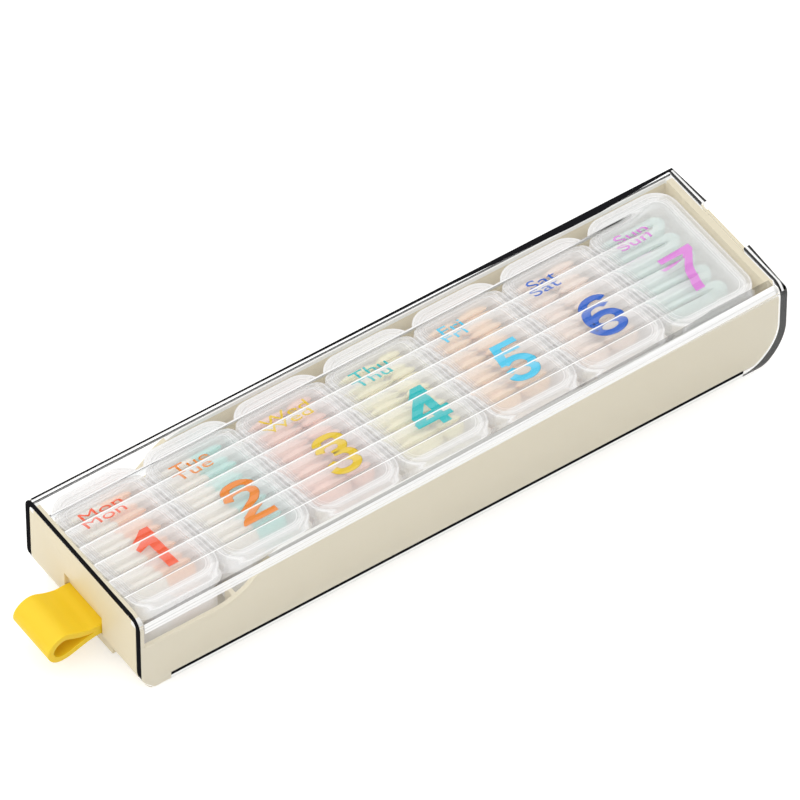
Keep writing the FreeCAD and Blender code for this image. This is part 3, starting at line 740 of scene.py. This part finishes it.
def make_mark(name, meshes, scale, place, material):
    """A printed mark on a lid, from flat meshes one unit thick."""
    bm = bmesh.new()
    for mesh in meshes:
        bm.from_mesh(mesh)
        bpy.data.meshes.remove(mesh)
    for face in bm.faces:
        face.material_index = 0
    bmesh.ops.transform(bm, verts=bm.verts, matrix=Matrix.Translation(place)
                        @ Matrix.Diagonal((scale, scale, sizes().ink, 1.0)))
    bmesh.ops.recalc_face_normals(bm, faces=bm.faces)
    piece = to_object(name, bm, [material])


def make_marks():
    """The day's short name and number on each lid."""
    for number, day in enumerate(DAYS, start=1):
        text = str(number)
        material = moulded_plastic(f"ink_{day}", INK_COLOURS[day], 0.5, shine=0.05)
        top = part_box(f"lid_{day}")[1].z - BEAD_HEIGHT + sizes().ink / 2
        middle = cup_centre(day)
        meshes = []
        if text in NUMERAL_OUTLINES:
            meshes.append(outlines_mesh(NUMERAL_OUTLINES[text]))
        if text in NUMERAL_STROKES:
            meshes.append(strokes_mesh(NUMERAL_STROKES[text]))
        place = Vector((middle + NUMERAL_ASIDE[text] * MM, NUMERAL_FOOT, top))
        make_mark(f"numeral_{day}", meshes, sizes().numeral_height / NUMERAL_FIELD, place, material)
        place = Vector((middle + WORD_START, WORD_FOOT, top))
        make_mark(f"word_{day}", [word_mesh(day.capitalize())], sizes().word_height, place, material)


def add_capsule(bm, cap):
    """A two-part capsule along X: a body with a slightly wider cap over its rear half."""
    half = sizes().capsule_length / 2
    radius = sizes().capsule_width / 2
    for index, (sign, size) in enumerate(((-1, radius * (1.0 - cap)), (1, radius))):
        turned = Matrix.Translation((sign * half / 2, 0, 0)) @ Matrix.Rotation(math.pi / 2, 4, "Y")
        made = bmesh.ops.create_cone(bm, cap_ends=True, segments=28, radius1=size, radius2=size, depth=half,
                                     matrix=turned)
        for face in {face for vert in made["verts"] for face in vert.link_faces}:
            face.material_index = index
        outer = [vert for vert in made["verts"] if vert.co.x * sign > half / 2]
        edges = {edge for vert in outer for edge in vert.link_edges
                 if all(end in outer for end in edge.verts)}
        bmesh.ops.bevel(bm, geom=list(edges), offset=size * CAPSULE_ROUND, offset_type="OFFSET", segments=7,
                        profile=0.5, affect="EDGES", clamp_overlap=True, material=-1)


def add_tablet(bm, centre, length, index):
    """A coated tablet: a full flattened ball that leans on its neighbour."""
    made = bmesh.ops.create_uvsphere(bm, u_segments=36, v_segments=18, radius=1.0)
    for vert in made["verts"]:
        share = math.hypot(vert.co.x, vert.co.y)
        if share > 0:
            fuller = share ** TABLET_FULLNESS / share
            vert.co.x *= fuller
            vert.co.y *= fuller
        for face in vert.link_faces:
            face.material_index = index
    bmesh.ops.scale(bm, verts=made["verts"],
                    vec=(length / 2, sizes().tablet_width / 2, sizes().tablet_height / 2))
    bmesh.ops.transform(bm, verts=made["verts"],
                        matrix=Matrix.Translation(centre) @ Matrix.Rotation(TABLET_LEAN, 4, "X"))


def pills_of_a_place(kind):
    """The mesh of what lies in one place of a row: a capsule or two tablets."""
    bm = bmesh.new()
    if kind in TABLETS:
        for index, (middle, share, aside) in enumerate(TABLETS[kind]):
            centre = Vector((middle * sizes().capsule_length, aside * sizes().row_pitch, 0))
            add_tablet(bm, centre, share * sizes().capsule_length, index)
    else:
        add_capsule(bm, CAP_STEP if kind == "capsule" else 0.0)
    mesh = bpy.data.meshes.new("place")
    bm.to_mesh(mesh)
    bm.free()
    return mesh


def make_pills():
    """What the seven cups hold."""
    for day in DAYS:
        kind, first, second = FILLINGS[day]
        materials = [moulded_plastic(f"pill_{day}_{side}", rgb, 0.38, subsurface=0.2)
                     for side, rgb in (("front", first), ("rear", second))]
        place = pills_of_a_place(kind)
        bm = bmesh.new()
        for layer in range(LAYERS):
            shift = layer % 2
            for row in range(ROWS - shift):
                centre = Vector((cup_centre(day), FIRST_ROW + sizes().row_pitch * (row + shift / 2),
                                 TOP_LAYER - sizes().layer_pitch * layer))
                place.transform(Matrix.Translation(centre))
                bm.from_mesh(place)
                place.transform(Matrix.Translation(-centre))
        bpy.data.meshes.remove(place)
        piece = to_object(f"contents_{day}", bm, materials)
        smooth(piece, PILL_TURN)
        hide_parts(f"pills_{day}")


# ---------------------------------------------------------------- stage
CAMERA_AZIMUTH = -34.747       # degrees, from straight ahead of the near side
CAMERA_ELEVATION = 48.578      # degrees above the floor
CAMERA_DISTANCE = 3.330128     # metres from the middle of the base
CAMERA_ASIDE = (-0.002926, 0.020264)   # metres to the right and upwards in the view
CAMERA_FOCAL = 10838.117 / 800         # focal length as a share of the picture's width
SENSOR = 36.0
KEY_DIRECTION = (-0.62, 0.36, 0.70)    # where most of the light comes from
LIGHT_TURNS = (-0.6, 1.0)      # from facing away from there to facing it, as a cosine
LIGHT_LEVELS = (0.50, 1.30)    # the light at these two
FLAG_HEIGHTS = (0.0, 0.45)     # how high dark flags stand round the object, as the sine of the rise
FLAG_DARK = 0.97
FLOOR_SIZE = 3.0
FLOOR_DROP = 0.05 * MM
FLOOR_GREY = (0.80, 0.80, 0.80, 1.0)
FLOOR_GLOW = 0.46              # what the eye sees on top of the light that falls on the floor
WHITE = (1.0, 1.0, 1.0, 1.0)


def make_camera():
    """The camera, far away behind a long lens."""
    turn = math.radians(CAMERA_AZIMUTH)
    rise = math.radians(CAMERA_ELEVATION)
    back = Vector((math.sin(turn) * math.cos(rise), -math.cos(turn) * math.cos(rise), math.sin(rise)))
    right = Vector((math.cos(turn), math.sin(turn), 0.0))
    upwards = back.cross(right)
    data = bpy.data.cameras.new("camera")
    data.sensor_width = SENSOR
    data.lens = SENSOR * CAMERA_FOCAL
    data.clip_start = 0.1
    data.clip_end = 100.0
    camera = bpy.data.objects.new("camera", data)
    matrix = Matrix((right, upwards, back)).transposed().to_4x4()
    matrix.translation = back * CAMERA_DISTANCE + right * CAMERA_ASIDE[0] + upwards * CAMERA_ASIDE[1]
    camera.matrix_world = matrix
    bpy.context.scene.collection.objects.link(camera)
    bpy.context.scene.camera = camera


def make_floor():
    """The pale floor: bright to the eye and through the clear plastic, and it takes the shadow."""
    bm = bmesh.new()
    bmesh.ops.create_grid(bm, x_segments=1, y_segments=1, size=FLOOR_SIZE,
                          matrix=Matrix.Translation((0, 0, -FLOOR_DROP)))
    mesh = bpy.data.meshes.new("floor")
    bm.to_mesh(mesh)
    bm.free()
    floor = bpy.data.objects.new("floor", mesh)
    bpy.context.scene.collection.objects.link(floor)
    material, tree, output = new_material("pale_floor")
    path = tree.nodes.new("ShaderNodeLightPath")
    seen = either(tree, path.outputs["Is Camera Ray"], path.outputs["Is Glossy Ray"],
                  path.outputs["Is Transmission Ray"])
    diffuse = node(tree, "ShaderNodeBsdfDiffuse", Color=FLOOR_GREY)
    glow = node(tree, "ShaderNodeEmission", Color=WHITE, Strength=FLOOR_GLOW)
    lit = tree.nodes.new("ShaderNodeAddShader")
    tree.links.new(diffuse.outputs[0], lit.inputs[0])
    tree.links.new(glow.outputs[0], lit.inputs[1])
    tree.links.new(blended(tree, seen, diffuse.outputs[0], lit.outputs[0]), output.inputs["Surface"])
    mesh.materials.append(material)


def make_world():
    """Soft studio light from all round, brighter from the front and from above."""
    world = bpy.data.worlds.new("studio")
    bpy.context.scene.world = world
    world.use_nodes = True
    tree = world.node_tree
    tree.nodes.clear()
    output = tree.nodes.new("ShaderNodeOutputWorld")
    direction = tree.nodes.new("ShaderNodeTexCoord").outputs["Generated"]
    aim = tree.nodes.new("ShaderNodeVectorMath")
    aim.operation = "DOT_PRODUCT"
    tree.links.new(direction, aim.inputs[0])
    aim.inputs[1].default_value = Vector(KEY_DIRECTION).normalized()
    level = node(tree, "ShaderNodeMapRange", Value=aim.outputs["Value"], From_Min=LIGHT_TURNS[0],
                 From_Max=LIGHT_TURNS[1], To_Min=LIGHT_LEVELS[0], To_Max=LIGHT_LEVELS[1])
    path = tree.nodes.new("ShaderNodeLightPath")
    rise = node(tree, "ShaderNodeSeparateXYZ", Vector=direction).outputs["Z"]
    mirrored = either(tree, path.outputs["Is Glossy Ray"], path.outputs["Is Transmission Ray"])
    flags = both(tree, within(tree, rise, *FLAG_HEIGHTS), mirrored, FLAG_DARK)
    flagged = both(tree, level.outputs["Result"], maths(tree, "SUBTRACT", 1.0, flags))
    strength = tree.nodes.new("ShaderNodeMix")
    tree.links.new(path.outputs["Is Camera Ray"], strength.inputs["Factor"])
    tree.links.new(flagged, strength.inputs["A"])
    strength.inputs["B"].default_value = 1.0
    background = node(tree, "ShaderNodeBackground", Color=WHITE, Strength=strength.outputs["Result"])
    tree.links.new(background.outputs[0], output.inputs["Surface"])


def make_stage():
    """Camera, floor, light and plain colour handling."""
    make_camera()
    make_floor()
    make_world()
    bpy.context.scene.view_settings.view_transform = "Standard"


# ---------------------------------------------------------------- operators, panel and main
class ORGANIZER_OT_sleeve(bpy.types.Operator):
    """Make the clear sleeve"""
    bl_idname = "organizer.sleeve"
    bl_label = "Clear sleeve"
    bl_options = {"REGISTER", "UNDO"}

    def execute(self, context):
        """Run this step; an error stops the script."""
        make_sleeve()
        return {"FINISHED"}


class ORGANIZER_OT_tray(bpy.types.Operator):
    """Make the cream drawer tray"""
    bl_idname = "organizer.tray"
    bl_label = "Drawer tray"
    bl_options = {"REGISTER", "UNDO"}

    def execute(self, context):
        """Run this step; an error stops the script."""
        make_tray()
        return {"FINISHED"}


class ORGANIZER_OT_strap(bpy.types.Operator):
    """Make the yellow pull strap"""
    bl_idname = "organizer.strap"
    bl_label = "Pull strap"
    bl_options = {"REGISTER", "UNDO"}

    def execute(self, context):
        """Run this step; an error stops the script."""
        make_strap()
        return {"FINISHED"}


class ORGANIZER_OT_cups(bpy.types.Operator):
    """Make the seven cups"""
    bl_idname = "organizer.cups"
    bl_label = "Cups"
    bl_options = {"REGISTER", "UNDO"}

    def execute(self, context):
        """Run this step; an error stops the script."""
        make_cups()
        return {"FINISHED"}


class ORGANIZER_OT_lids(bpy.types.Operator):
    """Make the seven lids"""
    bl_idname = "organizer.lids"
    bl_label = "Lids"
    bl_options = {"REGISTER", "UNDO"}

    def execute(self, context):
        """Run this step; an error stops the script."""
        make_lids()
        return {"FINISHED"}


class ORGANIZER_OT_marks(bpy.types.Operator):
    """Make the names and numbers on the lids"""
    bl_idname = "organizer.marks"
    bl_label = "Marks"
    bl_options = {"REGISTER", "UNDO"}

    def execute(self, context):
        """Run this step; an error stops the script."""
        make_marks()
        return {"FINISHED"}


class ORGANIZER_OT_pills(bpy.types.Operator):
    """Fill the cups with pills"""
    bl_idname = "organizer.pills"
    bl_label = "Pills"
    bl_options = {"REGISTER", "UNDO"}

    def execute(self, context):
        """Run this step; an error stops the script."""
        make_pills()
        return {"FINISHED"}


class ORGANIZER_OT_stage(bpy.types.Operator):
    """Set up the camera, the floor and the light"""
    bl_idname = "organizer.stage"
    bl_label = "Stage"
    bl_options = {"REGISTER", "UNDO"}

    def execute(self, context):
        """Run this step; an error stops the script."""
        make_stage()
        return {"FINISHED"}


STEPS = (ORGANIZER_OT_sleeve, ORGANIZER_OT_tray, ORGANIZER_OT_strap, ORGANIZER_OT_cups,
         ORGANIZER_OT_lids, ORGANIZER_OT_marks, ORGANIZER_OT_pills, ORGANIZER_OT_stage)


class ORGANIZER_PT_panel(bpy.types.Panel):
    """Lists the steps and the values that can be changed"""
    bl_idname = "ORGANIZER_PT_panel"
    bl_label = "Pill Organizer"
    bl_space_type = "VIEW_3D"
    bl_region_type = "UI"
    bl_category = "Organizer"

    def draw(self, context):
        """Show one button a step, then the sizes and colours."""
        for step in STEPS:
            self.layout.operator(step.bl_idname)
        for group in (context.scene.organizer_sizes, context.scene.organizer_colours):
            for name in type(group).__annotations__:
                self.layout.prop(group, name)


CLASSES = (OrganizerSizes, OrganizerColours, *STEPS, ORGANIZER_PT_panel)


def register():
    """Register the classes and hang the values on the scene."""
    for item in CLASSES:
        bpy.utils.register_class(item)
    bpy.types.Scene.organizer_sizes = PointerProperty(type=OrganizerSizes)
    bpy.types.Scene.organizer_colours = PointerProperty(type=OrganizerColours)


def unregister():
    """Undo what register did."""
    del bpy.types.Scene.organizer_colours
    del bpy.types.Scene.organizer_sizes
    for item in reversed(CLASSES):
        bpy.utils.unregister_class(item)


def main():
    """Make every piece and the stage."""
    register()
    bpy.ops.organizer.sleeve()
    bpy.ops.organizer.tray()
    bpy.ops.organizer.strap()
    bpy.ops.organizer.cups()
    bpy.ops.organizer.lids()
    bpy.ops.organizer.marks()
    bpy.ops.organizer.pills()
    bpy.ops.organizer.stage()
    bpy.context.view_layer.update()


if __name__ == "__main__":
    main()
